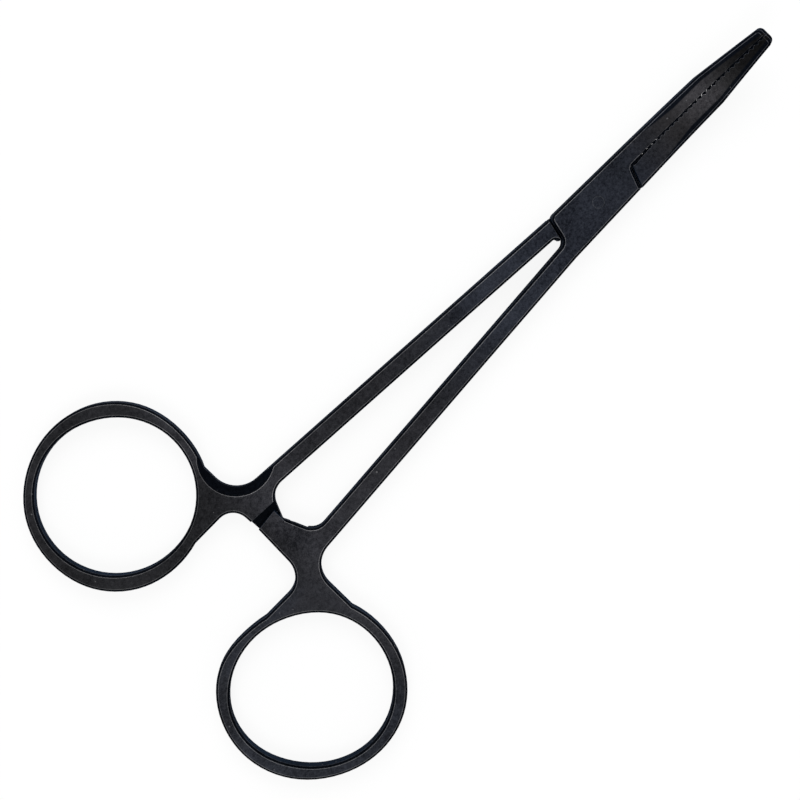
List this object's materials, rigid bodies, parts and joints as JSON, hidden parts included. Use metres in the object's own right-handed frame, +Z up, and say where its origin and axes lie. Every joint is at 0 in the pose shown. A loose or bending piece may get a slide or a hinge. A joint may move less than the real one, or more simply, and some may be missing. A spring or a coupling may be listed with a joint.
{
  "type": "haemostatic forceps",
  "caption": "Curved locking forceps in black coated steel, with finger rings, a stepped ratchet, a box lock and serrated jaws.",
  "frame": {"origin": "on the rest plane, the box lock's flat underside, under the lock pin's axis", "axes": "+X along the closed instrument to the jaw tips, +Y to the finger ring of the half that carries the tenon, +Z up; the jaws curve up towards +Z"},
  "size_m": [0.1403, 0.0742, 0.0105],
  "materials": {
    "coated_steel": "black coating, fine satin, on steel",
    "pin_steel": "black coating, polished flush, on steel"
  },
  "bodies": {
    "box_half": {"box_half": "coated_steel", "lock_pin": "pin_steel"},
    "tenon_half": {"tenon_half": "coated_steel"}
  },
  "joints": [
    {"name": "box_lock_hinge", "type": "hinge", "parent": "box_half", "child": "tenon_half", "pos_m": [0, 0, 0.0023], "axis": [0, 0, -1], "range_deg": [0, 50]}
  ]
}
